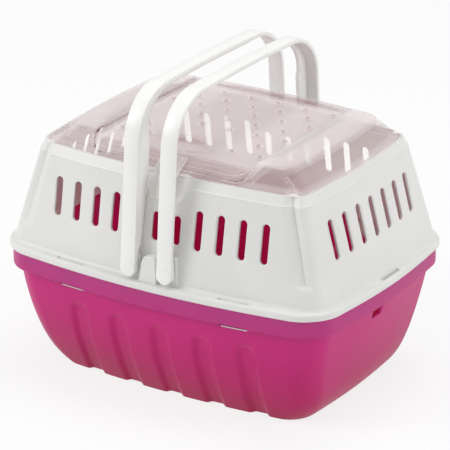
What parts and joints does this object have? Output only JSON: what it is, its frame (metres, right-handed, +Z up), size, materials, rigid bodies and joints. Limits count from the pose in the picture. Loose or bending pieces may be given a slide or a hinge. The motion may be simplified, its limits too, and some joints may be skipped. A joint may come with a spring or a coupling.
{
  "type": "small animal carrier",
  "caption": "Small-animal carrier: a tub, a vented shell that clips on, a clear roof with a vented hinged door, and twin fold-down bail handles.",
  "frame": {"origin": "middle of the tub's underside, on the surface it stands on", "axes": "+X along the carrier's length, +Z up; the roof door's latch is on the -Y side"},
  "size_m": [0.3, 0.224, 0.2493],
  "materials": {
    "pink_tub": "moulded magenta pink plastic, slightly translucent, satin gloss",
    "white_shell": "moulded white plastic, satin",
    "clear_plastic": "clear moulded polystyrene, glossy",
    "white_handle": "moulded white plastic, smooth satin"
  },
  "bodies": {
    "base": {"tub": "pink_tub"},
    "shell": {"upper_shell": "white_shell", "clear_roof": "clear_plastic", "handle_pins": "white_handle"},
    "door": {"roof_door": "clear_plastic"},
    "latch": {"latch_tongue": "clear_plastic"},
    "left_bail": {"handle_left": "white_handle"},
    "right_bail": {"handle_right": "white_handle"}
  },
  "joints": [
    {"name": "shell_lift", "type": "slide", "parent": "base", "child": "shell", "axis": [0, 0, 1], "range_m": [0, 0.12]},
    {"name": "door_hinge", "type": "hinge", "parent": "shell", "child": "door", "pos_m": [0, 0.0677, 0.1928], "axis": [-1, 0, 0], "range_deg": [0, 16]},
    {"name": "latch_flex", "type": "hinge", "parent": "door", "child": "latch", "pos_m": [0, -0.0765, 0.1924], "axis": [-1, 0, 0], "range_deg": [0, 3], "stiffness_Nm_per_rad": 0.2},
    {"name": "left_fold", "type": "hinge", "parent": "shell", "child": "left_bail", "pos_m": [-0.0159, 0, 0.1134], "axis": [0, -1, 0], "range_deg": [0, 42]},
    {"name": "right_fold", "type": "hinge", "parent": "shell", "child": "right_bail", "pos_m": [0.0159, 0, 0.1134], "axis": [0, 1, 0], "range_deg": [0, 42]}
  ]
}
